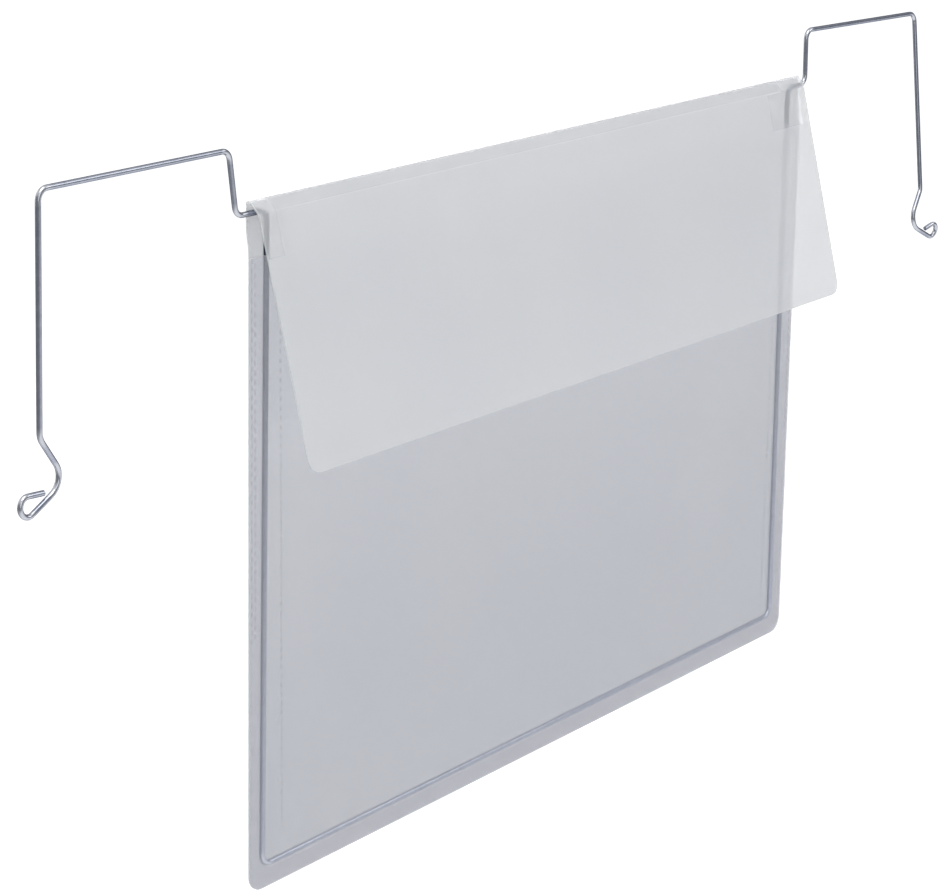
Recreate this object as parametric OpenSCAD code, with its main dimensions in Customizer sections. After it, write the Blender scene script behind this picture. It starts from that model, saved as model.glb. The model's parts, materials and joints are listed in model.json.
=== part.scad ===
// Hanging document pocket: a welded film pocket on one bent wire bracket, with a rain flap.
// Frame: +X to the right seen from the front, +Y away from the viewer, +Z up, in millimetres.
// The origin is on the hanging line, midway between the two hook arms at their underside.

/* [Films] */
// Width of the films
pocket_w = 330; // [260:1:420]
// Height from the top of the fold to the bottom edge
pocket_h = 230; // [190:1:360]
// Thickness of the film
film_t = 0.4; // [0.3:0.05:0.6]
// Radius of the back film's bottom corners
corner_r = 6; // [2:0.5:7]
// Distance from the top of the fold down to the mouth of the pocket
mouth_drop = 18; // [12:0.5:30]
// Clear depth of the pocket behind the bowed front
pocket_depth = 4.6; // [3:0.1:6]
// Width of the strip over which the front rises from its welds
rise_w = 25; // [15:1:40]
// Flat margin of the front between its weld and the rise
rise_margin = 1; // [0.5:0.5:3]
// Distance from the middle of the wire to the inner edge of the inner weld
inner_weld = 8.5; // [6:0.5:14]

/* [Flap] */
// Length of the flap below the rolled fold
flap_l = 84.5; // [50:0.5:140]
// Angle at which the creased flap stands off the vertical
flap_lift = 14; // [8:0.5:40]
// How much narrower than the back film the flap is at each side
flap_inset = 3; // [0:0.5:6]
// Radius of the flap's bottom corners
flap_corner_r = 7; // [2:0.5:20]
// Outer radius of the rolled fold
fold_r = 1.8; // [1.4:0.1:3]
// Gap round the fold to what it turns past
fold_gap = 0.3; // [0.2:0.05:0.6]

/* [Wire channel] */
// Distance from a side edge of the films to the middle of the wire
side_inset = 7; // [5:0.5:12]
// Distance from the bottom edge of the films to the middle of the wire
bottom_inset = 8; // [6:0.5:20]
// Room between the wire and the film drawn over it
channel_gap = 0.1; // [0.05:0.05:0.3]
// Room between the wire and the back film
back_gap = 0.05; // [0.02:0.01:0.1]
// Radius of the hollow where the film comes down beside the wire
channel_fillet = 1.2; // [0.8:0.1:2]

/* [Wire] */
// Diameter of the wire
wire_d = 1.8; // [1.6:0.1:2.5]
// How much thinner the wire gets where it is bent
bend_thinning = 0.02; // [0.01:0.01:0.05]
// Middle radius of the two bends in the pocket's bottom corners
corner_bend = 4; // [3:0.5:6]
// Middle radius of the bends in the hooks
hook_bend = 3.5; // [2.5:0.5:6]

/* [Hooks] */
// Height of the arms' underside above the top of the fold
arm_rise = 16.2; // [12:0.1:40]
// Length of an arm, between the corners at its ends
arm_l = 83; // [30:1:120]
// Length of an outer leg, from the arm's corner to the kick
leg_l = 71; // [40:1:120]
// Angle of the inward kick below the leg
kick_angle = 42; // [15:1:50]
// Straight length of the kick
kick_l = 8.5; // [6:0.5:20]
// Turn of the bend that leads from the kick back outwards
neck_angle = 99; // [60:1:110]
// Middle radius of that bend
neck_bend = 5.5; // [4:0.5:8]
// Straight length between that bend and the curl
neck_l = 10.5; // [4:0.5:15]
// Turn of the curl at the wire's end
curl_angle = 231; // [180:1:240]
// Middle radius of the curl
curl_bend = 3.75; // [3:0.25:6]
// Straight length past the curl
tail_l = 4.5; // [2:0.5:10]

/* [Left hook] */
// Length of the jog that leads the wire out past the side edge
left_jog_l = 12.5; // [8:0.5:20]
// Outward lean of the riser
left_riser_lean = 10.5; // [-5:0.5:12]
// Downward slope of the arm
left_arm_drop = -0.5; // [-3:0.5:6]
// Forward swing of the arm
left_arm_swing = 1.5; // [0:0.5:10]
// Forward lean of the leg
left_leg_lean = -1; // [-5:0.5:10]

/* [Right hook] */
// Length of the jog that leads the wire out past the side edge
right_jog_l = 9; // [8:0.5:20]
// Outward lean of the riser
right_riser_lean = -0.5; // [-5:0.5:12]
// Downward slope of the arm
right_arm_drop = 1; // [-3:0.5:6]
// Forward swing of the arm
right_arm_swing = 1; // [0:0.5:10]
// Forward lean of the leg
right_leg_lean = 7.5; // [-5:0.5:10]

/* [Hidden] */

wire_r = wire_d / 2;
wire_sides = 48;
arc_steps = 8;
film_color = [0.80, 0.82, 0.86];
flap_color = [0.84, 0.85, 0.87];
wire_color = [0.58, 0.61, 0.68];

// Levels: the wire's middle is in the plane y = 0, and the films stack up from the back film's front face
fold_z = -arm_rise;
bottom_z = fold_z - pocket_h;
mouth_z = fold_z - mouth_drop;
back_y = wire_r + back_gap;
wire_x = pocket_w / 2 - side_inset;
wire_z = bottom_z + bottom_inset;
window_x = wire_x - inner_weld;
window_z = wire_z + inner_weld;

// The rolled fold turns about its own middle, in front of the back film
flap_w = pocket_w - 2 * flap_inset;
hinge_y = back_y - fold_gap - fold_r;
hinge_z = fold_z - fold_r;
// The jog passes just under the rolled fold, as high as the fold's turn lets it
jog_reach = fold_r + fold_gap + wire_r;
jog_z = hinge_z - sqrt(jog_reach * jog_reach - hinge_y * hinge_y);

// Points of an arc about c, from angle a0 to angle a1
function arc(c, r, a0, a1, steps = arc_steps) =
    [for (i = [0 : steps]) c + r * [cos(a0 + (a1 - a0) * i / steps), sin(a0 + (a1 - a0) * i / steps)]];

// Sheet that hangs down from z = 0, with its two bottom corners rounded
module sheet_outline(w, h, r) {
    polygon(concat(
        [[w / 2, 0], [-w / 2, 0]],
        arc([-w / 2 + r, -h + r], r, 180, 270),
        arc([w / 2 - r, -h + r], r, 270, 360)));
}

// Solid of a flat outline in the XZ plane, from y = 0 back to y = t
module upright(t) {
    translate([0, t, 0])
        rotate([90, 0, 0])
            linear_extrude(t)
                children();
}

// Turns a shape that runs along +Z so that it runs along +X, with its +X up and its +Y to the front
module sideways() {
    rotate([180, 0, 0])
        rotate([0, 90, 0])
            children();
}

// Cross-section of the front film over the wire: x is outwards from the wire, y is forwards from the
// back film. It lies flat to the inner side, rises over the wire and lies flat again to the outer side.
channel_h = wire_r + back_gap;
channel_r = wire_r + channel_gap;
foot_y = film_t + channel_fillet;
foot_x = sqrt(pow(channel_r + foot_y, 2) - pow(foot_y - channel_h, 2));
foot_angle = atan2(foot_y - channel_h, foot_x);

function channel_skin(over, under) = concat(
    arc([-foot_x, foot_y], under, -90, -foot_angle),
    arc([0, channel_h], over, 180 - foot_angle, foot_angle),
    arc([foot_x, foot_y], under, 180 + foot_angle, 270));

function reversed(list) = [for (i = [len(list) - 1 : -1 : 0]) list[i]];

module channel_profile(inner, outer) {
    polygon(concat(
        [[-inner, film_t]],
        channel_skin(channel_r + film_t, channel_fillet),
        [[outer, film_t], [outer, 0]],
        reversed(channel_skin(channel_r, foot_y)),
        [[-inner, 0]]));
}

// Straight stretch of the right-hand channel, between two heights
module side_channel(z0, z1, inner) {
    translate([wire_x, back_y, z0])
        mirror([0, 1, 0])
            linear_extrude(z1 - z0)
                channel_profile(inner, side_inset);
}

// Channel round the right-hand bottom corner, with the flat of the weld outside it
module corner_channel() {
    corner_edge = corner_bend + foot_x;
    translate([wire_x - corner_bend, back_y, wire_z + corner_bend])
        rotate([90, 0, 0]) {
            rotate([0, 0, -90])
                rotate_extrude(angle = 90, $fn = wire_sides)
                    translate([corner_bend, 0])
                        channel_profile(corner_bend, foot_x);
            linear_extrude(film_t)
                difference() {
                    translate([0, -corner_bend - bottom_inset])
                        polygon(concat(
                            [[0, corner_bend + bottom_inset], [0, 0]],
                            arc([corner_bend + side_inset - corner_r, corner_r], corner_r, 270, 360),
                            [[corner_bend + side_inset, corner_bend + bottom_inset]]));
                    circle(corner_edge, $fn = wire_sides);
                }
        }
    side_channel(wire_z + corner_bend, window_z, corner_bend);
}

// Skin of the rise from a weld to the bowed front: s runs inwards from the foot of the rise, and off is
// the distance from the middle of the film
rise_angle = 2 * atan(pocket_depth / rise_w);
rise_r = rise_w / (2 * sin(rise_angle));

function rise_skin(off) = concat(
    arc([0, film_t / 2 + rise_r], rise_r - off, -90, rise_angle - 90),
    arc([rise_w, film_t / 2 + pocket_depth - rise_r], rise_r + off, 90 + rise_angle, 90));

// The bowed front, or the space under it: the part of a side-to-side profile and an upright profile that
// both share
module bowed_body(off, margin, floor_y, over) {
    across = [for (p = rise_skin(off)) [p[0] - window_x + rise_margin, p[1]]];
    upwards = [for (p = rise_skin(off)) [p[0] + window_z + rise_margin, p[1]]];
    top = upwards[len(upwards) - 1][1];
    translate([0, back_y, 0])
        intersection() {
            translate([0, 0, window_z - over])
                mirror([0, 1, 0])
                    linear_extrude(mouth_z - window_z + 2 * over)
                        polygon(concat(
                            [[margin - window_x, floor_y], [margin - window_x, across[0][1]]],
                            across,
                            [for (p = reversed(across)) [-p[0], p[1]]],
                            [[window_x - margin, across[0][1]], [window_x - margin, floor_y]]));
            sideways()
                linear_extrude(2 * window_x, center = true)
                    polygon(concat(
                        [[window_z + margin, floor_y], [window_z + margin, upwards[0][1]]],
                        upwards,
                        [[mouth_z + over, top], [mouth_z + over, floor_y]]));
        }
}

// One bend of the wire, from heading +Z towards +X. It reaches a little way into the straights.
module bend(angle, radius) {
    lap = 1;
    translate([radius, 0, 0])
        rotate([90, 0, 0])
            rotate([0, 0, 180 - angle - lap])
                rotate_extrude(angle = angle + 2 * lap, $fn = wire_sides)
                    translate([radius, 0])
                        circle(d = wire_d - bend_thinning, $fn = wire_sides);
}

// Wire as a bender makes it: each step feeds a straight, rolls the wire about itself and bends it
module bent_wire(steps, i = 0) {
    feed = steps[i][0];
    roll = steps[i][1];
    turn = steps[i][2];
    radius = steps[i][3];
    cylinder(h = feed, d = wire_d, $fn = wire_sides);
    if (i + 1 < len(steps))
        translate([0, 0, feed])
            rotate([0, 0, roll])
                mirror([turn < 0 ? 1 : 0, 0, 0]) {
                    bend(abs(turn), radius);
                    translate([radius, 0, 0])
                        rotate([0, abs(turn), 0])
                            translate([-radius, 0, 0])
                                mirror([turn < 0 ? 1 : 0, 0, 0])
                                    bent_wire(steps, i + 1);
                }
}

// Right half of the bracket, from the middle of the bottom run to the curled end
module half_bracket(jog_l, lean, drop, swing, leg_lean) {
    riser_h = wire_r - jog_z - hook_bend * (1 + cos(drop) - 2 * sin(lean));
    side_l = jog_z - wire_z - corner_bend - hook_bend;
    translate([0, 0, wire_z])
        sideways()
            bent_wire([
                [wire_x - corner_bend, 0, 90, corner_bend],
                [side_l, 0, -90, hook_bend],
                [jog_l - 2 * hook_bend, 0, 90 - lean, hook_bend],
                [riser_h / cos(lean), -swing, lean - drop - 90, hook_bend],
                [arm_l - 2 * hook_bend, -leg_lean, -90, hook_bend],
                [leg_l - hook_bend, 0, -kick_angle, hook_bend],
                [kick_l, 0, neck_angle, neck_bend],
                [neck_l, 0, curl_angle, curl_bend],
                [tail_l]]);
}

module wire_bracket() {
    color(wire_color) {
        half_bracket(right_jog_l, right_riser_lean, right_arm_drop, right_arm_swing, right_leg_lean);
        mirror([1, 0, 0])
            half_bracket(left_jog_l, left_riser_lean, left_arm_drop, left_arm_swing, left_leg_lean);
    }
}

module back_sheet() {
    color(flap_color)
        translate([0, back_y, hinge_z])
            upright(film_t)
                sheet_outline(pocket_w, hinge_z - bottom_z, corner_r);
}

module right_channel() {
    color(film_color)
        side_channel(window_z, mouth_z, inner_weld);
}

module left_channel() {
    color(film_color)
        mirror([1, 0, 0])
            side_channel(window_z, mouth_z, inner_weld);
}

module bottom_channel() {
    color(film_color) {
        translate([0, back_y, wire_z])
            mirror([0, 1, 0])
                rotate([0, 90, 0])
                    linear_extrude(2 * (wire_x - corner_bend), center = true)
                        channel_profile(inner_weld, bottom_inset);
        corner_channel();
        mirror([1, 0, 0])
            corner_channel();
    }
}

module front_sheet() {
    color(film_color)
        difference() {
            bowed_body(film_t / 2, 0, 0, 0);
            bowed_body(-film_t / 2, rise_margin, -1, 1);
        }
}

// Flap and fold are drawn hanging straight down from the hinge line, then lifted
module lifted() {
    translate([0, hinge_y, hinge_z])
        rotate([-flap_lift, 0, 0])
            children();
}

module flap_fold() {
    color(flap_color)
        lifted()
            rotate([0, 90, 0])
                rotate([0, 0, -90 - (180 - flap_lift)])
                    rotate_extrude(angle = 180 - flap_lift, $fn = wire_sides)
                        translate([fold_r - film_t, -flap_w / 2])
                            square([film_t, flap_w]);
}

module rain_flap() {
    color(flap_color)
        lifted()
            translate([0, -fold_r, 0])
                upright(film_t)
                    sheet_outline(flap_w, flap_l, flap_corner_r);
}

wire_bracket();
back_sheet();
left_channel();
right_channel();
bottom_channel();
front_sheet();
flap_fold();
rain_flap();
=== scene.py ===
# %% [markdown]
# # Hanging document pocket
# A landscape pocket for papers hangs from one bent wire. A clear front film is welded to a hazy back film
# all round the wire, and the back film folds forward at the top and hangs down in front as a rain flap.
# The CAD model already has every size and the flap's hinge. This lesson adds what CAD leaves out: film that
# is drawn round the wire, the marks of the welding tool, a drawn and plated wire, light and a camera.

# %% Load the CAD frame
import json
import math

import bmesh
import bpy
from mathutils import Matrix, Vector


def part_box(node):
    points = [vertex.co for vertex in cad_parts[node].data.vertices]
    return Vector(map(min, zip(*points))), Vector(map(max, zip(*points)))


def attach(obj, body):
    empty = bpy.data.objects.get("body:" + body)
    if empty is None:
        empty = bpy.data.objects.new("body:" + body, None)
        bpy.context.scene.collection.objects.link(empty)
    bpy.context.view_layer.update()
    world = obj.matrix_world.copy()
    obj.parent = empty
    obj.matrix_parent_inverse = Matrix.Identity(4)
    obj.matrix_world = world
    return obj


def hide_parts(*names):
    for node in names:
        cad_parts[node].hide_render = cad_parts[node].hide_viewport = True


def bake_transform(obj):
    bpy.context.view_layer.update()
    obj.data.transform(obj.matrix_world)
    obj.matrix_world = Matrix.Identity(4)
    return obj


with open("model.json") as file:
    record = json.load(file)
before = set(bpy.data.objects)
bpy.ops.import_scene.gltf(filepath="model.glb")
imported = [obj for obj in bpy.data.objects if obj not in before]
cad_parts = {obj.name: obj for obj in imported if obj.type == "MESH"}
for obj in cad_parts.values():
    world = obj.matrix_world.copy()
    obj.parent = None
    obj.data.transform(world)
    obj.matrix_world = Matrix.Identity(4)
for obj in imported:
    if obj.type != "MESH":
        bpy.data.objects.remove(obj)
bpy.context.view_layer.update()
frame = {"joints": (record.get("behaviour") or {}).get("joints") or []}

MM = 0.001

# %% [markdown]
# ## Camera
# The camera comes first, so that every later choice can be compared with the photograph. A long lens that
# looks from the pocket's left and from a little above gives its slow convergence. A camera could be turned by
# hand until the edges agree. Here its place and its angles were worked out from the pocket's straight edges,
# so they are plain numbers. The focal length comes out in pixels of the picture, and Blender wants it in
# millimetres of its sensor.

# %% Camera at the photograph's viewing angle
PHOTO_WIDTH_PX = 945
FOCAL_PX = 2951.7
SENSOR_MM = 36
HEADING, PITCH, ROLL = (math.radians(a) for a in (53.388, 16.245, 0.905))
EYE = Vector((-0.83397, -0.5843, 0.1649))

lens = bpy.data.cameras.new("photo_camera")
lens.sensor_width = SENSOR_MM
lens.lens = FOCAL_PX / PHOTO_WIDTH_PX * SENSOR_MM
camera = bpy.data.objects.new("photo_camera", lens)
bpy.context.collection.objects.link(camera)
aim = Matrix.Rotation(-HEADING, 4, "Z") @ Matrix.Rotation(math.pi / 2 - PITCH, 4, "X")
camera.matrix_world = Matrix.Translation(EYE) @ aim @ Matrix.Rotation(ROLL, 4, "Z")
bpy.context.scene.camera = camera
print("lens %.1f mm" % lens.lens)

# %% [markdown]
# ## Sizes from the CAD boxes
# The films have to lie where the CAD solids are, so their sizes are read from the boxes of those solids and
# not typed again. Only what a box can't tell, such as a bend radius, is repeated as a number.

# %% Read the sizes
back_lo, back_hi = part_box("back_sheet")
front_lo, front_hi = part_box("front_sheet")
FILM = back_hi.y - back_lo.y
BACK_Y = back_lo.y
HALF_W = back_hi.x
BOTTOM_Z = back_lo.z
HINGE_Z = back_hi.z
MOUTH_Z = front_hi.z
WINDOW_X = front_hi.x
WINDOW_Z = front_lo.z
hinge = Vector(next(j for j in frame["joints"] if j["name"] == "flap_hinge")["pos_m"])
print("film %.2f mm, pocket %.0f mm wide" % (FILM / MM, 2 * HALF_W / MM))

# %% [markdown]
# ## The wire as a bender makes it
# The bracket is one length of steel wire. A bending machine knows only three moves: feed the wire, roll it
# about itself, and bend it round a former. A curve object with a bevel would look alike, but its handles
# have to be placed by eye. Walking the machine's own list gives true straights and true arcs.
#
# No bracket comes out perfect. In this one the sides lean in by a degree towards the top, the frame sits a
# little to the left of the pocket's middle, and its short jogs lie a little high under the fold. The two
# hooks were finished by hand, so each of them has its own values.

# %% The bender's list, in millimetres and degrees
WIRE_R = 0.9
CORNER_BEND, HOOK_BEND = 4, 3.5
WIRE_X, WIRE_Z = 158, -238.2
SIDE_LEAN, SIDE_SPREAD = math.radians(1.0), 0.8
FRAME_SHIFT, JOG_RISE = -0.7, 0.8
FOLD_R, FOLD_GAP = 1.8, 0.3

hinge_y_mm, hinge_z_mm = hinge.y / MM, hinge.z / MM
under_fold = math.sqrt((FOLD_R + FOLD_GAP + WIRE_R) ** 2 - hinge_y_mm ** 2)
JOG_Z = hinge_z_mm - under_fold + JOG_RISE
SIDE_RISE = JOG_Z - WIRE_Z
JOG_EXTRA = SIDE_RISE * math.tan(SIDE_LEAN) - SIDE_SPREAD


def bender_list(jog_l, lean, drop, swing, arm_l, leg_lean, leg_l, kick, neck, curl, tail_l):
    """Feed, roll, turn and bend radius of each step, from the middle of the bottom run to the curled end.
    kick is (turn, bend radius), neck adds the feed before it, and curl the feed and the roll before it."""
    kick_turn, kick_r = kick
    neck_turn, neck_r, neck_feed = neck
    curl_turn, curl_r, curl_feed, curl_roll = curl
    tilt, slope = math.radians(lean), math.radians(drop)
    side_turn = 90 + math.degrees(SIDE_LEAN)
    setback = math.tan(math.radians(side_turn / 2))
    riser = WIRE_R - JOG_Z - HOOK_BEND * (1 + math.cos(slope) - 2 * math.sin(tilt))
    return [
        (WIRE_X + SIDE_SPREAD - CORNER_BEND * setback, 0, side_turn, CORNER_BEND),
        (SIDE_RISE / math.cos(SIDE_LEAN) - (CORNER_BEND + HOOK_BEND) * setback, 0, -side_turn, HOOK_BEND),
        (jog_l + JOG_EXTRA - HOOK_BEND * (1 + setback), 0, 90 - lean, HOOK_BEND),
        (riser / math.cos(tilt), -swing, lean - drop - 90, HOOK_BEND),
        (arm_l - 2 * HOOK_BEND, -leg_lean, -90, HOOK_BEND),
        (leg_l - HOOK_BEND, 0, -kick_turn, kick_r),
        (neck_feed, 0, neck_turn, neck_r),
        (curl_feed, curl_roll, curl_turn, curl_r),
        (tail_l, 0, 0, 0),
    ]


right_list = bender_list(jog_l=9.8, lean=-2.0, drop=1.1, swing=1.3, arm_l=83.3, leg_lean=6.7, leg_l=71.8,
                         kick=(37, 3.5), neck=(102, 5.8, 8.0), curl=(223, 2.75, 9.9, 16), tail_l=4.3)
left_list = bender_list(jog_l=11.9, lean=8.4, drop=-0.6, swing=1.8, arm_l=83.7, leg_lean=-1.2, leg_l=70.6,
                        kick=(36.5, 5.7), neck=(99.5, 6.0, 9.5), curl=(210, 3.05, 9.0, -5), tail_l=6.3)
print("bends in the bracket:", len(right_list) + len(left_list) - 2)

# %% [markdown]
# Each station on the wire keeps its place, its heading, the direction of the bend and how bent it is there.
# The last two are used twice: a bent wire goes slightly oval, and its bends get a lighter zinc, partly plating
# burnished by the former and partly a painted highlight. A station on the straight just beside each bend keeps
# both changes short.

# %% Walk the list
DEGREES_PER_STEP, LEAST_STEPS = 9, 4
RUN_IN = 1.6


def walk(steps, start_x):
    """Stations along one half of the bracket: (place, heading, bend direction, share of bending)."""
    place, ahead, up = Vector((start_x, 0, WIRE_Z)), Vector((1, 0, 0)), Vector((0, 0, 1))
    stations = [(place.copy(), ahead.copy(), up.copy(), 0.0)]
    for feed, roll, turn, radius in steps:
        start = place.copy()
        place = start + ahead * feed
        if feed > 3 * RUN_IN:
            stations.append((start + ahead * RUN_IN, ahead.copy(), up.copy(), 0.0))
            stations.append((place - ahead * RUN_IN, ahead.copy(), up.copy(), 0.0))
        if radius == 0:
            stations.append((place.copy(), ahead.copy(), up.copy(), 0.0))
            break
        up = Matrix.Rotation(math.radians(roll), 3, ahead) @ up
        axle = ahead.cross(up)
        centre = place + up * math.copysign(radius, turn)
        count = max(LEAST_STEPS, math.ceil(abs(turn) / DEGREES_PER_STEP))
        arm, first = place - centre, ahead.copy()
        for k in range(count + 1):
            spin = Matrix.Rotation(math.radians(turn) * k / count, 3, axle)
            stations.append((centre + spin @ arm, spin @ first, spin @ up, 1.0))
        place, ahead, up = (part.copy() for part in stations[-1][:3])
    return stations


def mirrored(stations):
    """The same half on the other side, walked from its end back to the middle."""
    flip = Matrix.Diagonal((-1, 1, 1))
    return [(flip @ p, -(flip @ a), flip @ u, b) for p, a, u, b in reversed(stations)]


stations = mirrored(walk(left_list, -FRAME_SHIFT))[:-1] + walk(right_list, FRAME_SHIFT)
length = sum((b[0] - a[0]).length for a, b in zip(stations, stations[1:]))
print("wire: %d stations, %.0f mm long" % (len(stations), length))

# %% [markdown]
# ### Light on the wire
# Hazy film spreads light about and throws only a faint shadow. Film made of see-through faces throws a plain
# grey one in Blender, so the back film is told later on to throw none. What the wire loses under the flap, and
# what the film of the channels passes on to it from the sides, is kept as a colour on the wire instead.

# %% Share of light along the wire
IN_OPEN = Vector((1, 1, 1))
IN_CHANNEL = Vector((1.3, 1.32, 1.36))
UNDER_FLAP = Vector((0.28, 0.32, 0.38))
EDGE_IN, EDGE_FADE = 1.5 * MM, 2.5 * MM
FLAP_SHADE_Z, FLAP_FADE = -60 * MM, 20 * MM


def clamp(t):
    """t, kept between 0 and 1."""
    return min(max(t, 0.0), 1.0)


def exposure(point):
    """The light that reaches the zinc at a point, as a colour."""
    inside = clamp((HALF_W - EDGE_IN - abs(point.x)) / EDGE_FADE)
    painted_top_share = clamp((point.z - FLAP_SHADE_Z) / FLAP_FADE)
    return IN_OPEN.lerp(IN_CHANNEL.lerp(UNDER_FLAP, painted_top_share), inside)


print("light under the flap: %.0f %% of that on the hooks" % (100 * sum(UNDER_FLAP) / sum(IN_OPEN)))

# %% [markdown]
# ### A round section along the stations
# A ring of points stands square to the wire at each station. The rings are carried along without a twist, so
# that the fine lines of the plating can run straight along the wire. Each end gets one smaller ring, which is
# the bevel that the cutter leaves.

# %% Rings along the wire
WIRE_SIDES = 20
OVAL = 0.025
CUT_BEVEL, CUT_END = 0.22, -1.0


def wire_rings(maker, stations):
    """A ring of points for each station and both ends, with their shares of bending and their distances."""
    (first, first_ahead, first_up, _), (last, last_ahead, last_up, _) = stations[0], stations[-1]
    bevelled = [(first - first_ahead * CUT_BEVEL, first_ahead, first_up, CUT_END)]
    bevelled += stations
    bevelled += [(last + last_ahead * CUT_BEVEL, last_ahead, last_up, CUT_END)]
    rings, shares, travel, run = [], [], [], 0.0
    sideways = first_up
    for i, (place, ahead, up, bent) in enumerate(bevelled):
        sideways = (sideways - ahead * sideways.dot(ahead)).normalized()
        over = ahead.cross(sideways)
        run += (place - bevelled[i - 1][0]).length if i else 0.0
        ring = []
        for k in range(WIRE_SIDES):
            angle = 2 * math.pi * k / WIRE_SIDES
            out = sideways * math.cos(angle) + over * math.sin(angle)
            oval = 1 + OVAL * bent * (0.5 - out.dot(up) ** 2)
            grow = 1 - 2 * CUT_BEVEL if bent == CUT_END else oval
            ring.append(maker.verts.new((place + out * WIRE_R * grow) * MM))
        rings.append(ring)
        shares.append(max(bent, 0.0))
        travel.append(run)
    return rings, shares, travel


print("points round the wire: %d, oval by %.1f %% in the bends" % (WIRE_SIDES, 100 * OVAL))

# %% [markdown]
# Quads between the rings make the tube, and a cap closes each end. Three things are kept in the mesh for the
# plating: a map that runs along the wire, the burnish and painted highlight of the bends, and the share of
# light.

# %% Sweep the wire
SHARP_CUT = math.radians(50)


def finished(name, maker, sharp_angle=None):
    """The object that was built up in a bmesh, linked into the scene. Edges past sharp_angle stay sharp."""
    mesh = bpy.data.meshes.new(name)
    maker.to_mesh(mesh)
    maker.free()
    if sharp_angle:
        mesh.set_sharp_from_angle(angle=sharp_angle)
    made = bpy.data.objects.new(name, mesh)
    bpy.context.collection.objects.link(made)
    return made


def swept_wire(name, stations):
    """A closed tube through the stations, oval in the bends, with bevelled cut ends."""
    maker = bmesh.new()
    uv = maker.loops.layers.uv.new("along_wire")
    rings, shares, travel = wire_rings(maker, stations)
    for i in range(len(rings) - 1):
        for k in range(WIRE_SIDES):
            n = (k + 1) % WIRE_SIDES
            quad = maker.faces.new((rings[i][k], rings[i][n], rings[i + 1][n], rings[i + 1][k]))
            quad.smooth = True
            corners = ((k, i), (k + 1, i), (k + 1, i + 1), (k, i + 1))
            for loop, (around, along) in zip(quad.loops, corners):
                loop[uv].uv = (around / WIRE_SIDES, travel[along])
    maker.faces.new(list(reversed(rings[0])))
    maker.faces.new(rings[-1])
    bmesh.ops.recalc_face_normals(maker, faces=maker.faces)
    swept = finished(name, maker, SHARP_CUT)
    # The lighter bends are partly burnished plating and partly a painted highlight.
    burnish_and_highlight = swept.data.attributes.new("burnish_and_highlight", "FLOAT", "POINT")
    burnish_and_highlight.data.foreach_set("value", [s for s in shares for _ in range(WIRE_SIDES)])
    light = swept.data.attributes.new("exposure", "FLOAT_COLOR", "POINT")
    for vertex, share in zip(swept.data.vertices, light.data):
        share.color = (*exposure(vertex.co), 1)
    return swept


wire = swept_wire("bent_wire", stations)
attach(wire, "pocket")
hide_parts("wire_bracket")
print("wire faces:", len(wire.data.polygons))

# %% [markdown]
# ## Helpers for materials
# Every finish here is made of nodes, and the same few moves come back in each of them: start a material, add a
# node with its settings, run a colour between two stops, and map a number from one range to another. Small
# functions for these keep the recipes short enough to read.

# %% Material helpers
NOISE_LOW, NOISE_HIGH = 0.3, 0.7


def blank_material(name):
    """A material with its node tree, ready to take more nodes."""
    material = bpy.data.materials.new(name)
    material.use_nodes = True
    tree = material.node_tree
    return material, tree.nodes, tree.links, tree.nodes["Principled BSDF"]


def add(nodes, kind, **settings):
    """A new node with some of its own settings or unlinked inputs set."""
    node = nodes.new(kind)
    for key, value in settings.items():
        if key in node.inputs:
            node.inputs[key].default_value = value
        else:
            setattr(node, key, value)
    return node


def ramp(nodes, low, high):
    """A colour ramp between two (position, colour) stops."""
    node = nodes.new("ShaderNodeValToRGB")
    for stop, (position, colour) in zip(node.color_ramp.elements, (low, high)):
        stop.position, stop.color = position, (*colour, 1)
    return node


def remap(nodes, low, high):
    """A map from the range that a noise usually has to the range low to high."""
    node = nodes.new("ShaderNodeMapRange")
    ends = (("From Min", NOISE_LOW), ("From Max", NOISE_HIGH), ("To Min", low), ("To Max", high))
    for socket, value in ends:
        node.inputs[socket].default_value = value
    return node


def fade(nodes, low, high):
    """A smooth map from the range low to high to 0 to 1; low may be the larger number."""
    node = add(nodes, "ShaderNodeMapRange", interpolation_type="SMOOTHSTEP")
    node.inputs["From Min"].default_value, node.inputs["From Max"].default_value = low, high
    return node


print("helpers:", ", ".join(f.__name__ for f in (blank_material, add, ramp, remap, fade)))

# %% [markdown]
# ## Zinc plating
# The wire is bright steel with a thin zinc coat, blue-grey, with fine lines from the drawing die running
# along it. One metal shader does it: noise stretched along the wire gives the die lines, a second noise
# gives dull patches in the plating, and the burnish kept in the mesh lightens the bends, partly as burnished
# plating and partly as a painted highlight. A dark tint on the glancing reflection is painted shade on the
# wire's edges.

# %% Zinc material
BLUE_ZINC, PALE_ZINC = (0.29, 0.31, 0.365), (0.36, 0.375, 0.43)
# The lighter zinc of the bends is partly burnished plating and partly a painted highlight.
RUBBED_HIGHLIGHT_ZINC, RUB_HIGHLIGHT_SHARE = (0.52, 0.53, 0.56), 0.6
# The dark tint on glancing reflections is painted shade that darkens the wire's edges.
PAINTED_DARK_EDGE_TINT = (0.3, 0.32, 0.38)
LINES_ROUND, LINES_ALONG = 14.0, 0.06

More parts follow.
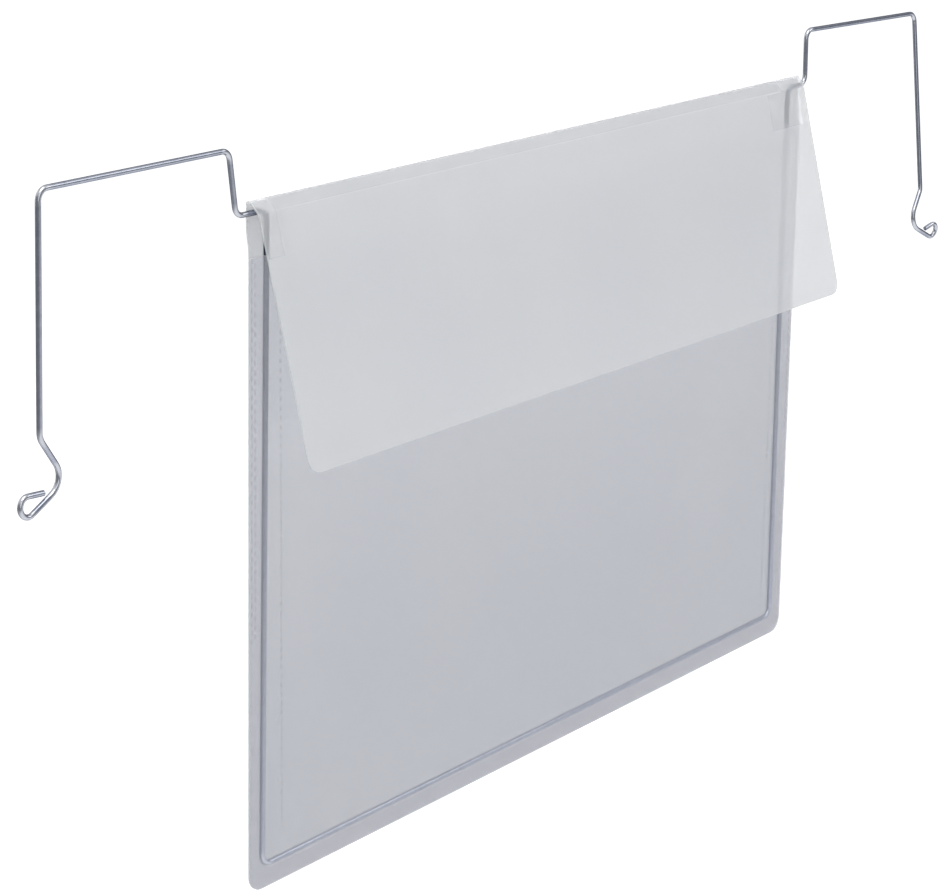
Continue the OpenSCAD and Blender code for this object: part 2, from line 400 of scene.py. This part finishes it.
zinc, nodes, links, shader = blank_material("zinc_plate")
shader.inputs["Metallic"].default_value = 1.0
shader.inputs["Specular Tint"].default_value = (*PAINTED_DARK_EDGE_TINT, 1)
uv = add(nodes, "ShaderNodeUVMap", uv_map="along_wire")
stretch = add(nodes, "ShaderNodeMapping")
stretch.inputs["Scale"].default_value = (LINES_ROUND, LINES_ALONG, 1.0)
die_lines = add(nodes, "ShaderNodeTexNoise", Scale=3.0, Detail=4.0)
place = add(nodes, "ShaderNodeTexCoord")
patches = add(nodes, "ShaderNodeTexNoise", Scale=420.0, Detail=3.0)
tint = ramp(nodes, (0.3, BLUE_ZINC), (0.72, PALE_ZINC))
bends = add(nodes, "ShaderNodeAttribute", attribute_name="burnish_and_highlight")
rubbed_highlight = add(nodes, "ShaderNodeMix", data_type="RGBA")
rubbed_highlight.inputs["B"].default_value = (*RUBBED_HIGHLIGHT_ZINC, 1)
rub_highlight = add(nodes, "ShaderNodeMath", operation="MULTIPLY")
rub_highlight.inputs[1].default_value = RUB_HIGHLIGHT_SHARE
shaded = add(nodes, "ShaderNodeMix", data_type="RGBA", blend_type="MULTIPLY")
shaded.inputs["Factor"].default_value = 1.0
light_share = add(nodes, "ShaderNodeAttribute", attribute_name="exposure")
rough = remap(nodes, 0.15, 0.25)
bump = add(nodes, "ShaderNodeBump", Strength=0.25, Distance=0.04 * MM)
links.new(uv.outputs["UV"], stretch.inputs["Vector"])
links.new(stretch.outputs["Vector"], die_lines.inputs["Vector"])
links.new(place.outputs["Object"], patches.inputs["Vector"])
links.new(patches.outputs["Fac"], tint.inputs["Fac"])
links.new(tint.outputs["Color"], rubbed_highlight.inputs["A"])
links.new(bends.outputs["Fac"], rub_highlight.inputs[0])
links.new(rub_highlight.outputs["Value"], rubbed_highlight.inputs["Factor"])
links.new(rubbed_highlight.outputs["Result"], shaded.inputs["A"])
links.new(light_share.outputs["Color"], shaded.inputs["B"])
links.new(shaded.outputs["Result"], shader.inputs["Base Color"])
links.new(die_lines.outputs["Fac"], rough.inputs["Value"])
links.new(rough.outputs["Result"], shader.inputs["Roughness"])
links.new(die_lines.outputs["Fac"], bump.inputs["Height"])
links.new(bump.outputs["Normal"], shader.inputs["Normal"])
wire.data.materials.append(zinc)
print("zinc nodes:", len(nodes))

# %% [markdown]
# ## Films as thin solids
# A film could be one sheet of faces with a Solidify modifier. Here both faces of a film come from the same
# grid of rows and columns, because the welds have to keep the two films a hair apart, and because the welding
# tool's dents belong on one face only. A rim closes the two faces into a solid.
#
# Seven finishes are told apart. Most of a film is plain. Its cut edge is lighter, a painted highlight, the
# dents are duller where the hot tool pressed, and the welded margin outside the wire is a little darker. The
# flap is a little milkier than the back and much paler: the two are one sheet, so the paler flap is painted
# light and the darker back is painted shade. Along its crease the flap is darker, which is painted shade. Where
# it lies close to the wire it is clearer, because hazy film clears where something lies against it.

# %% A film from two grids
PLAIN, CUT, PRESSED, PAINTED_LIGHT_FLAP, WELDED, PAINTED_SHADE_CREASE, NEAR_WIRE = range(7)
DENT_RIM, DENT_DEPTH = 0.2 * MM, 0.12 * MM
SHARP_FILM = math.radians(48)


def film_solid(name, front, back, finish):
    """Two grids of points closed into a thin solid. finish(row, column) is the finish of a front face."""
    maker = bmesh.new()
    rows, cols = len(front), len(front[0])
    near = [[maker.verts.new(p) for p in row] for row in front]
    far = [[maker.verts.new(p) for p in row] for row in back]
    pressed = []
    for r in range(rows - 1):
        for c in range(cols - 1):
            quad = maker.faces.new((near[r][c], near[r][c + 1], near[r + 1][c + 1], near[r + 1][c]))
            rear = maker.faces.new((far[r][c], far[r + 1][c], far[r + 1][c + 1], far[r][c + 1]))
            quad.material_index = finish(r, c)
            rear.material_index = PLAIN if quad.material_index == PRESSED else quad.material_index
            if quad.material_index == PRESSED:
                pressed.append(quad)
    edge = [(0, c) for c in range(cols)] + [(r, cols - 1) for r in range(1, rows)]
    edge += [(rows - 1, c) for c in range(cols - 2, -1, -1)] + [(r, 0) for r in range(rows - 2, 0, -1)]
    for (r, c), (r2, c2) in zip(edge, edge[1:] + edge[:1]):
        maker.faces.new((near[r][c], far[r][c], far[r2][c2], near[r2][c2])).material_index = CUT
    bmesh.ops.recalc_face_normals(maker, faces=maker.faces)
    if pressed:
        bmesh.ops.inset_individual(maker, faces=pressed, thickness=DENT_RIM, depth=-DENT_DEPTH)
    for face in maker.faces:
        face.smooth = True
    film = finished(name, maker, SHARP_FILM)
    print("%s: %d faces, %d dents" % (name, len(film.data.polygons), len(pressed)))
    return film


print("finishes:", NEAR_WIRE + 1)

# %% [markdown]
# ## The ridge round the wire
# Both films are welded in the middle plane of the wire, along the pocket's edge and again inside the wire, and
# both are drawn tight over it. The height of such a skin depends only on the distance from the wire, so the
# ridge turns the bottom corners by itself. Its section is an arch round the wire with a soft foot on each side.

# %% Section of the ridge
CHANNEL_GAP, FOOT_R = 0.1, 0.9 * MM
CHANNEL_R = (WIRE_R + CHANNEL_GAP) * MM
FOOT_Y = FILM + FOOT_R
WELD_GAP = 0.01 * MM
wire_z, corner = WIRE_Z * MM, CORNER_BEND * MM


def off_wire(x, z):
    """Distance from the middle of the wire, positive towards the pocket's edges."""
    x = x - FRAME_SHIFT * MM
    wire_x = (WIRE_X + SIDE_SPREAD) * MM - (z - wire_z) * math.tan(SIDE_LEAN)
    beside, below = abs(x) - (wire_x - corner), wire_z + corner - z
    if beside > 0 and below > 0:
        return math.hypot(beside, below) - corner
    return max(abs(x) - wire_x, wire_z - z)


def ridge(distance, wire_h, thickness):
    """Height of a skin of the film over the weld plane, where the wire's middle is wire_h above that plane."""
    d = abs(distance)
    arch_r, fillet_r = CHANNEL_R + thickness, FOOT_Y - thickness
    foot_x = math.sqrt(max((CHANNEL_R + FOOT_Y) ** 2 - (FOOT_Y - wire_h) ** 2, 0))
    if d >= foot_x:
        return thickness
    if d <= arch_r * foot_x / (CHANNEL_R + FOOT_Y):
        return wire_h + math.sqrt(arch_r ** 2 - d ** 2)
    return FOOT_Y - math.sqrt(max(fillet_r ** 2 - (foot_x - d) ** 2, 0))


print("crest %.2f mm in front of the wire's middle" % (ridge(0, 0, FILM) / MM))

# %% [markdown]
# ## Columns and rows
# The columns and rows are close together where the ridge runs and wider apart on the flat window. The narrow
# columns at the edge are the cut edge, then the teeth of the welding tool, then the ridge, then the inner weld.
# The pocket is cut a little wider at the bottom than at the top, so each row has its own width.

# %% Columns and rows of the films
BACK_CORNER, TAPER = 6 * MM, 1.1 * MM
EDGE_COLUMNS, INNER_WELD_COLUMNS = [0, 0.5, 1.2, 2.0, 2.8, 3.6], [13.6, 14.6, 15.5]
RIDGE_FROM, RIDGE_STEP, RIDGE_COLUMNS = 4.0, 0.4, 23
WINDOW_COLUMNS = 60
CORNER_ROWS, RIDGE_ROWS, INNER_WELD_ROWS = 8, 20, 3
RIDGE_END = 14 * MM


def spread(start, end, count):
    """count equal steps from start towards end, without the end itself."""
    return [start + (end - start) * k / count for k in range(count)]


ridge_columns = [RIDGE_FROM + RIDGE_STEP * k for k in range(RIDGE_COLUMNS)]
side = [d * MM for d in EDGE_COLUMNS + ridge_columns + INNER_WELD_COLUMNS]
window = [-WINDOW_X + 2 * WINDOW_X * k / WINDOW_COLUMNS for k in range(1, WINDOW_COLUMNS)]
columns = [-HALF_W + d for d in side] + window + [HALF_W - d for d in reversed(side)]

quarter = [math.pi / 2 * k / CORNER_ROWS for k in range(CORNER_ROWS)]
bottom_rows = [BOTTOM_Z + BACK_CORNER * (1 - math.cos(a)) for a in quarter]
bottom_rows += spread(BOTTOM_Z + BACK_CORNER, BOTTOM_Z + RIDGE_END, RIDGE_ROWS)
bottom_rows += spread(BOTTOM_Z + RIDGE_END, WINDOW_Z, INNER_WELD_ROWS)


def corner_width(full, radius, from_end):
    """Half width of a sheet with rounded corners, at a distance from its end."""
    if from_end >= radius:
        return full
    return full - radius + math.sqrt(max(radius ** 2 - (radius - from_end) ** 2, 0))


def half_w(z):
    """Half width of the pocket, which is a little wider at the bottom than at the top."""
    return HALF_W + TAPER * (1 - 2 * (z - BOTTOM_Z) / (HINGE_Z - BOTTOM_Z))


def across(half_width):
    """The columns of one row, with the strips outside the window squeezed to the row's half width."""
    squeeze = (half_width - WINDOW_X) / (HALF_W - WINDOW_X)

    def squeezed(x):
        """A column outside the window, moved to fit."""
        return math.copysign(WINDOW_X + (abs(x) - WINDOW_X) * squeeze, x)

    return [x if abs(x) <= WINDOW_X else squeezed(x) for x in columns]


print("columns: %d, rows below the window: %d" % (len(columns), len(bottom_rows)))

# %% [markdown]
# ## Back film, fold and flap in one sheet
# On the real pocket one sheet is the back, the fold and the flap, so it is one mesh here. Its middle line is
# drawn once as seen from the side: up the back, over a sharp crease, down a short roof across the wire, and
# down the flap, which stands off a little because the crease springs. The line is then spread sideways. Above
# the mouth nothing holds the back film to the wire, so there it moves back to lie behind it.

# %% Up the back
CREASE_R = 0.8 * MM
TOP_GAP, LET_GO = 0.05 * MM, 11 * MM
WINDOW_ROWS, TOP_ROWS = 34, 18
top_y = BACK_Y + TOP_GAP
crease_z = hinge.z + FOLD_R * MM - FILM / 2 - CREASE_R


def ease(t):
    """A smooth step from 0 to 1."""
    t = clamp(t)
    return t * t * t * (t * (6 * t - 15) + 10)


def plane_y(z):
    """Where the back film's front face lies: in the wire's middle plane at the welds, behind it above them."""
    return top_y * ease((z - MOUTH_Z) / LET_GO)


rise = bottom_rows + spread(WINDOW_Z, MOUTH_Z, WINDOW_ROWS) + spread(MOUTH_Z, crease_z, TOP_ROWS)
print("rows up the back:", len(rise))

# %% [markdown]
# The crease is an arc of a small radius. The roof leaves it in a straight line, and where that line meets the
# plane of the flap, a short rounded knee takes over. The rows come closer together at the flap's lower edge,
# so that its round corners stay smooth.

# %% Over the crease and down the flap
FLAP_LIFT = math.radians(14)
FLAP_L, FLAP_CORNER = 84.5 * MM, 5 * MM
FLAP_TOP_L, FLAP_TOP_ROWS, FLAP_ROWS, CUT_ROW = 20 * MM, 10, 24, 0.45 * MM
CREASE_TURN, CREASE_STEPS = math.radians(135), 9
ROOF_STEPS, KNEE_STEPS, KNEE_R = 4, 6, 1.6 * MM

down_flap = Vector((0, -math.sin(FLAP_LIFT), -math.cos(FLAP_LIFT)))
off_flap = Vector((0, -math.cos(FLAP_LIFT), math.sin(FLAP_LIFT)))
flap_top = hinge + off_flap * (FOLD_R * MM - FILM / 2)
crease_mid = Vector((0, top_y + WELD_GAP + FILM / 2 - CREASE_R, crease_z))
fold = []
for k in range(CREASE_STEPS + 1):
    turn = CREASE_TURN * k / CREASE_STEPS
    fold.append(crease_mid + Vector((0, math.cos(turn), math.sin(turn))) * CREASE_R)
roof = Vector((0, -math.sin(CREASE_TURN), math.cos(CREASE_TURN)))
gap = fold[-1] - flap_top
knee_drop = (gap.y * roof.z - gap.z * roof.y) / (down_flap.y * roof.z - down_flap.z * roof.y)
knee = flap_top + down_flap * knee_drop
tangent = KNEE_R * math.tan(0.5 * roof.angle(down_flap))
first, last = knee - roof * tangent, knee + down_flap * tangent
fold += spread(fold[-1], first, ROOF_STEPS)[1:]
fold += [(1 - t) ** 2 * first + 2 * t * (1 - t) * knee + t * t * last for t in spread(0, 1, KNEE_STEPS)]
flap_start = knee_drop + tangent
drop = spread(flap_start, FLAP_TOP_L, FLAP_TOP_ROWS) + spread(FLAP_TOP_L, FLAP_L - FLAP_CORNER, FLAP_ROWS)
drop += [FLAP_L - FLAP_CORNER * math.cos(a) for a in quarter] + [FLAP_L - CUT_ROW, FLAP_L]
middle = fold + [flap_top + down_flap * d for d in drop]
print("rows over the fold: %d, down the flap: %d" % (len(fold), len(drop)))

# %% [markdown]
# A flap that was cut and creased by hand isn't a perfect rectangle. It is a little narrower than the pocket,
# its shoulders are drawn in at the crease, it was cut slightly out of square, and its free edge waves a little.
# Each of these is a small function of the row, so the flat middle line can stay as simple as it is.

# %% Widths, skew and wave
FLAP_INSET, NECK = 3 * MM, 2.8 * MM
SHOULDER, SHOULDER_L = 0.5 * MM, 2 * MM
SKEW, SKEW_AT_CREASE = 1.4 * MM, 0.4
WAVE, WAVE_GROWTH = 0.198 * MM, 1.5
WAVES = ((0.24, 0.7, 1.0), (0.11, 2.1, 0.5))


def back_half_width(z):
    """Half width of the back, with round lower corners and shoulders that draw in at the crease."""
    shoulder = max(0.0, 1 - (crease_z - z) / SHOULDER_L)
    return corner_width(half_w(z), BACK_CORNER, z - BOTTOM_Z) - SHOULDER * shoulder ** 2


def flap_half_width(i):
    """Half width of row i, counted from the crease to the flap's free edge."""
    if i < len(fold):
        narrow = TAPER + SHOULDER
        return HALF_W - narrow - (NECK - narrow) * i / len(fold)
    return corner_width(HALF_W - FLAP_INSET, FLAP_CORNER, FLAP_L - drop[i - len(fold)])


def flap_shift(i):
    """The flap was cut a little out of square, so it sits to the left at the fold."""
    if i < len(fold):
        return -SKEW * (SKEW_AT_CREASE + (1 - SKEW_AT_CREASE) * i / len(fold))
    return -SKEW * (1 - drop[i - len(fold)] / FLAP_L)


def flap_wave(i, x):
    """How far the flap lies off its flat plane. It is nothing at the fold and most at the free edge.
    WAVES holds the length, the phase and the share of each wave."""
    if i < len(fold):
        return 0.0
    free = (drop[i - len(fold)] / FLAP_L) ** WAVE_GROWTH
    waves = sum(share * math.sin(2 * math.pi * x / span + phase) for span, phase, share in WAVES)
    return WAVE * free * waves


print("flap %.0f mm wide at its free edge" % (2 * (HALF_W - FLAP_INSET) / MM))

# %% [markdown]
# Now the rows become two grids of points. Up the back, the ridge gives the place of both skins. From the
# crease on, the skins lie half a film to either side of the middle line, square to it.

# %% Points of the back, the fold and the flap
outer, inner = [], []
for z in rise:
    plane = plane_y(z)
    xs = across(back_half_width(z))
    outer.append([Vector((x, plane + WELD_GAP + ridge(off_wire(x, z), -plane, FILM), z)) for x in xs])
    inner.append([Vector((x, plane + WELD_GAP + ridge(off_wire(x, z), -plane, 0), z)) for x in xs])
for i, point in enumerate(middle):
    before = middle[i - 1] if i else point - Vector((0, 0, MM))
    after = middle[min(i + 1, len(middle) - 1)]
    along = (after - before).normalized()
    out = Vector((0, along.z, -along.y))
    xs = [x + flap_shift(i) for x in across(flap_half_width(i))]
    bases = [point + Vector((x, 0, 0)) + out * flap_wave(i, x) for x in xs]
    outer.append([b + out * FILM / 2 for b in bases])
    inner.append([b - out * FILM / 2 for b in bases])
print("points on each skin:", len(outer) * len(columns))

# %% [markdown]
# The finish of each face follows from its row and column. Both upper corners of the flap lie close to the
# wire's jogs, and there the film is clear enough to show them.

# %% Finishes of the sheet
NEAR_L = 16 * MM
NEAR_LEFT, NEAR_RIGHT, EDGE_RIGHT = 21, len(side) + 2, 9
KNEE_END = 3


def flap_finish(r, c):
    """The finish of the face in row r and column c."""
    if r < len(rise):
        return PLAIN
    from_right = len(columns) - 2 - c
    if c == 0 or from_right == 0 or r == len(outer) - 2:
        return CUT
    row = r - len(rise)
    above_knee = row < len(fold)
    by_right_wire = from_right < len(side) if above_knee else EDGE_RIGHT < from_right < NEAR_RIGHT
    if (c < NEAR_LEFT or by_right_wire) and (above_knee or drop[row - len(fold)] < NEAR_L):
        return NEAR_WIRE
    # The crease and roof rows get painted shade, the rest of the flap painted light.
    return PAINTED_SHADE_CREASE if row < len(fold) - KNEE_END else PAINTED_LIGHT_FLAP


back_and_flap = film_solid("back_film_and_flap", outer, inner, flap_finish)

# %% [markdown]
# ## Front film
# The front film has the same ridge, and inside the welds it swells gently forwards, as a pocket does that has
# held papers. Rows along the sides have half the pitch of the welding tool's teeth, so that every second face
# of a weld column can be one dent. Outside the wire the tool left dents only in the upper part of the sides.

# %% Points of the front film
SWELL_REACH = 80 * MM
TOOTH_PITCH = 3.1 * MM
swell_depth = -FILM - front_lo.y


def swell(x, z):
    """How far the window stands forward of its welds."""
    return swell_depth * ease((WINDOW_X - abs(x)) / SWELL_REACH) * ease((z - WINDOW_Z) / SWELL_REACH)


tooth_rows = round((MOUTH_Z - WINDOW_Z) / (TOOTH_PITCH / 2))
rows = bottom_rows + spread(WINDOW_Z, MOUTH_Z, tooth_rows) + [MOUTH_Z]
outer, inner = [], []
for z in rows:
    xs = across(corner_width(half_w(z), BACK_CORNER, z - BOTTOM_Z))
    outer.append([Vector((x, -WELD_GAP - ridge(off_wire(x, z), 0, FILM) - swell(x, z), z)) for x in xs])
    inner.append([Vector((x, -WELD_GAP - ridge(off_wire(x, z), 0, 0) - swell(x, z), z)) for x in xs])
print("rows in the front film: %d, of them along the teeth: %d" % (len(rows), tooth_rows))

# %% [markdown]
# Three columns of faces on each side lie under the tool: two in the outer weld, whose teeth are offset by
# half a pitch, and one in the inner weld, which runs down the whole side.

# %% Weld marks and the front film's solid
DENTS_END = -160 * MM
MARGIN_START = 1.6 * MM
OUTER_TEETH, OFFSET_TEETH, INNER_TEETH = 1, 3, len(side) - 2
last_face = len(columns) - 2
inner_welds = (INNER_TEETH, last_face - INNER_TEETH)
weld_columns = {OUTER_TEETH: 0, OFFSET_TEETH: 1, INNER_TEETH: 0}
weld_columns.update({last_face - c: odd for c, odd in weld_columns.items()})


def front_finish(r, c):
    """The finish of the face in row r and column c."""
    toothed = rows[r] > DENTS_END or c in inner_welds
    if toothed and r >= len(bottom_rows) and c in weld_columns and r % 2 == weld_columns[c]:
        return PRESSED
    return WELDED if off_wire(outer[r][c].x, rows[r]) > MARGIN_START else PLAIN


front_film = film_solid("front_film", outer, inner, front_finish)
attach(front_film, "pocket")
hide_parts("front_sheet", "left_channel", "right_channel", "bottom_channel")

# %% [markdown]
# ## Film materials
# Film is part veil and part window. Glass-like transmission would be the first thought, but when it is rough
# it blurs everything behind the film. So each face lets a share of the rays straight through, and the rest
# meets a pale matt surface with a little gloss. Faint clouds in the tone and the gloss and a fine grain keep it
# from looking like a flat colour. Some films get a second, paler tone towards the top, which is painted light
# that lightens the pocket under and beside the flap. The front film is clearest, and the flap is milkiest.

# %% One recipe for all film
FILM_IOR = 1.45
# The paler tone towards the top is painted light.
PAINTED_LIGHT_FROM_Z, PAINTED_LIGHT_TO_Z = -240 * MM, -60 * MM
GRAIN_SCALE, GRAIN_DEPTH = 2600.0, 0.02 * MM


def film_material(name, dark, light, rough_range, cloud_scale, veil, glow=0.0, painted_light_top=None, grip=0.15):
    """A clouded film. veil is the share of rays that each face stops, glow how far light wanders inside it,
    the tone for the top is painted light, paler than the rest, and grip the strength of the grain."""
    material, nodes, links, shader = blank_material(name)
    shader.inputs["IOR"].default_value = FILM_IOR
    shader.inputs["Alpha"].default_value = veil
    if glow:
        shader.inputs["Subsurface Weight"].default_value = 1.0
        shader.inputs["Subsurface Radius"].default_value = (1, 1, 1)
        shader.inputs["Subsurface Scale"].default_value = glow
    place = add(nodes, "ShaderNodeTexCoord")
    clouds = add(nodes, "ShaderNodeTexNoise", Scale=cloud_scale, Detail=2.0)
    grain = add(nodes, "ShaderNodeTexNoise", Scale=GRAIN_SCALE, Detail=2.0)
    tone = ramp(nodes, (0.35, dark), (0.65, light))
    rough = remap(nodes, *rough_range)
    bump = add(nodes, "ShaderNodeBump", Strength=grip, Distance=GRAIN_DEPTH)
    links.new(place.outputs["Object"], clouds.inputs["Vector"])
    links.new(place.outputs["Object"], grain.inputs["Vector"])
    links.new(clouds.outputs["Fac"], tone.inputs["Fac"])
    links.new(tone.outputs["Color"], shader.inputs["Base Color"])
    # Painted light: the film turns paler towards the top.
    if painted_light_top:
        height = add(nodes, "ShaderNodeSeparateXYZ")
        painted_top_share = fade(nodes, PAINTED_LIGHT_FROM_Z, PAINTED_LIGHT_TO_Z)
        painted_paler = add(nodes, "ShaderNodeMix", data_type="RGBA")
        painted_paler.inputs["B"].default_value = (*painted_light_top, 1)
        links.new(place.outputs["Object"], height.inputs["Vector"])
        links.new(height.outputs["Z"], painted_top_share.inputs["Value"])
        links.new(painted_top_share.outputs["Result"], painted_paler.inputs["Factor"])
        links.new(tone.outputs["Color"], painted_paler.inputs["A"])
        links.new(painted_paler.outputs["Result"], shader.inputs["Base Color"])
    links.new(clouds.outputs["Fac"], rough.inputs["Value"])
    links.new(rough.outputs["Result"], shader.inputs["Roughness"])
    links.new(grain.outputs["Fac"], bump.inputs["Height"])
    links.new(bump.outputs["Normal"], shader.inputs["Normal"])
    return material


# The back film's dark tone is painted shade, and its paler top painted light.
hazy_shaded = film_material("hazy_film_painted_shade", (0.315, 0.33, 0.38), (0.335, 0.345, 0.385), (0.32, 0.42), 14, veil=0.47,
                     glow=0.8 * MM, painted_light_top=(0.48, 0.49, 0.52))
clear = film_material("clear_film", (0.70, 0.725, 0.81), (0.73, 0.75, 0.81), (0.16, 0.26), 12, veil=0.225,
                      painted_light_top=(0.80, 0.815, 0.87), grip=0.03)
print("plain films:", hazy_shaded.name, "and", clear.name)

# %% [markdown]
# The other finishes are the same recipe with other values. The three of the flap share their gloss and their
# clouds, and differ only in tone and veil. A film's material slots are in the order of the finishes, so the
# number of a face's finish picks its material.

# %% The finishes of both films
FLAP_FILM = dict(rough_range=(0.38, 0.48), cloud_scale=14, glow=1.5 * MM)
# The flap's pale tone is painted light.
milky_lit = film_material("milky_film_painted_light", (0.785, 0.795, 0.815), (0.805, 0.81, 0.825), veil=0.52, **FLAP_FILM)
# The crease's darker tone is painted shade.
crease_shaded = film_material("crease_painted_shade", (0.66, 0.67, 0.69), (0.68, 0.685, 0.70), veil=0.5, **FLAP_FILM)
near_wire = film_material("film_near_the_wire", (0.82, 0.83, 0.85), (0.84, 0.845, 0.86), veil=0.32,
                          **FLAP_FILM)
welded = film_material("welded_film", (0.61, 0.615, 0.705), (0.64, 0.64, 0.72), (0.2, 0.3), 60, veil=0.225,
                       painted_light_top=(0.74, 0.745, 0.82), grip=0.05)
# The pale cut edge is a painted highlight.
cut_edge_highlight = film_material("cut_edge_painted_highlight", (0.80, 0.82, 0.82), (0.85, 0.86, 0.85), (0.3, 0.4), 300, veil=0.5)
pressed = film_material("pressed_film", (0.36, 0.38, 0.43), (0.40, 0.42, 0.46), (0.3, 0.45), 700, veil=0.3)
for film, plain in ((back_and_flap, hazy_shaded), (front_film, clear)):
    for material in (plain, cut_edge_highlight, pressed, milky_lit, welded, crease_shaded, near_wire):
        film.data.materials.append(material)
print("film materials:", [m.name for m in back_and_flap.data.materials])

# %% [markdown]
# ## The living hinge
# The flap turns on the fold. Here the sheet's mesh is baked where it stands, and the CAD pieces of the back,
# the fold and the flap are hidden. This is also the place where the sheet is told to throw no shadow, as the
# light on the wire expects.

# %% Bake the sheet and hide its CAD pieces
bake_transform(back_and_flap)
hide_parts("back_sheet", "flap_fold", "rain_flap")
back_and_flap.visible_shadow = False

# %% [markdown]
# ## Floor
# A plain pale floor lies far below. To the eye, and to what is seen through film, it is lifted to white, as the
# photograph's background is. Reflections are treated apart: bright metal shows what is round it, and in an all
# white room a wire looks like white plastic. So only a patch of the floor, like a sheet of paper laid in front,
# is white to reflections. A light stripe between darker ones is what makes the wire look like metal.

# %% Pale floor
FLOOR_Z, FLOOR_HALF = -0.75, 30
PAPER_MIDDLE = (0.9, -1.2, FLOOR_Z)
PAPER_START, PAPER_END = 1.6, 2.6
FLOOR_GREY, FLOOR_LIFT = 0.9, 0.74

maker = bmesh.new()
bmesh.ops.create_grid(maker, x_segments=1, y_segments=1, size=FLOOR_HALF)
floor = finished("floor", maker)
floor.location.z = FLOOR_Z


def seen_directly(nodes, links, white_share):
    """1 for rays of the camera and of what is seen through film, white_share for reflections, otherwise 0."""
    path = nodes.new("ShaderNodeLightPath")
    reflected = add(nodes, "ShaderNodeMath", operation="MULTIPLY")
    eye_or_reflected = add(nodes, "ShaderNodeMath", operation="MAXIMUM")
    any_of_them = add(nodes, "ShaderNodeMath", operation="MAXIMUM")
    links.new(path.outputs["Is Glossy Ray"], reflected.inputs[0])
    links.new(white_share, reflected.inputs[1])
    links.new(path.outputs["Is Camera Ray"], eye_or_reflected.inputs[0])
    links.new(reflected.outputs["Value"], eye_or_reflected.inputs[1])
    links.new(eye_or_reflected.outputs["Value"], any_of_them.inputs[0])
    links.new(path.outputs["Is Transmission Ray"], any_of_them.inputs[1])
    return any_of_them.outputs["Value"]


pale, nodes, links, shader = blank_material("pale_floor")
shader.inputs["Base Color"].default_value = (FLOOR_GREY, FLOOR_GREY, FLOOR_GREY, 1)
shader.inputs["Roughness"].default_value = 0.9
lift = add(nodes, "ShaderNodeEmission", Strength=FLOOR_LIFT)
lifted = nodes.new("ShaderNodeAddShader")
choose = nodes.new("ShaderNodeMixShader")
here = nodes.new("ShaderNodeNewGeometry")
reach = add(nodes, "ShaderNodeVectorMath", operation="DISTANCE")
reach.inputs[1].default_value = PAPER_MIDDLE
paper = fade(nodes, PAPER_END, PAPER_START)
links.new(shader.outputs["BSDF"], lifted.inputs[0])
links.new(lift.outputs["Emission"], lifted.inputs[1])
links.new(here.outputs["Position"], reach.inputs[0])
links.new(reach.outputs["Value"], paper.inputs["Value"])
links.new(seen_directly(nodes, links, paper.outputs["Result"]), choose.inputs["Fac"])
links.new(shader.outputs["BSDF"], choose.inputs[1])
links.new(lifted.outputs["Shader"], choose.inputs[2])
links.new(choose.outputs["Shader"], nodes["Material Output"].inputs["Surface"])
floor.data.materials.append(pale)
print("floor %.2f m below the hanging line" % -FLOOR_Z)

# %% [markdown]
# ## World
# The world is treated as the floor is: white to the eye and through film, and white to reflections only
# overhead. Its light on the surfaces is set apart, at a plain level.

# %% White world
SKY_TONE, SKY_LEVEL = (0.94, 0.96, 1.0), 0.36
OVERHEAD_FROM, OVERHEAD_TO = 0.25, 0.75

world = bpy.data.worlds.new("studio")
bpy.context.scene.world = world
world.use_nodes = True
nodes, links = world.node_tree.nodes, world.node_tree.links
soft = nodes["Background"]
soft.inputs["Color"].default_value = (*SKY_TONE, 1)
soft.inputs["Strength"].default_value = SKY_LEVEL
white = add(nodes, "ShaderNodeBackground", Strength=1.0)
white.inputs["Color"].default_value = (1, 1, 1, 1)
choose = nodes.new("ShaderNodeMixShader")
heading = nodes.new("ShaderNodeTexCoord")
split = nodes.new("ShaderNodeSeparateXYZ")
overhead = fade(nodes, OVERHEAD_FROM, OVERHEAD_TO)
links.new(heading.outputs["Generated"], split.inputs["Vector"])
links.new(split.outputs["Z"], overhead.inputs["Value"])
links.new(seen_directly(nodes, links, overhead.outputs["Result"]), choose.inputs["Fac"])
links.new(soft.outputs["Background"], choose.inputs[1])
links.new(white.outputs["Background"], choose.inputs[2])
links.new(choose.outputs["Shader"], nodes["World Output"].inputs["Surface"])
print("world light on surfaces: %.2f" % SKY_LEVEL)

# %% [markdown]
# ## Lamps
# Five soft lamps do the rest. The one on top is strongest, as in a photographer's tent. Weak ones in front and
# behind keep the film's tone even, and the two on the right draw out the ridges.

# %% Five soft lamps
POCKET_MIDDLE = Vector((0, 0, -0.13))


def soft_lamp(name, place, size, power):
    """A square area lamp aimed at the pocket."""
    data = bpy.data.lights.new(name, "AREA")
    data.size, data.energy = size, power
    lamp = bpy.data.objects.new(name, data)
    lamp.location = place
    lamp.rotation_mode = "QUATERNION"
    lamp.rotation_quaternion = (POCKET_MIDDLE - Vector(place)).to_track_quat("-Z", "Y")
    bpy.context.collection.objects.link(lamp)


soft_lamp("key_lamp", place=(1.0, -0.95, 0.7), size=0.7, power=3.4)
soft_lamp("fill_lamp", place=(-1.0, -1.4, 0.45), size=1.2, power=4.6)
soft_lamp("top_lamp", place=(-0.4, -0.3, 1.5), size=1.2, power=16)
soft_lamp("low_lamp", place=(1.4, -0.8, -0.4), size=0.8, power=0.5)
soft_lamp("rear_lamp", place=(-0.5, 1.6, 0.3), size=1.4, power=5.5)
bpy.context.scene.view_settings.view_transform = "Standard"
print("lamps:", len(bpy.data.lights))
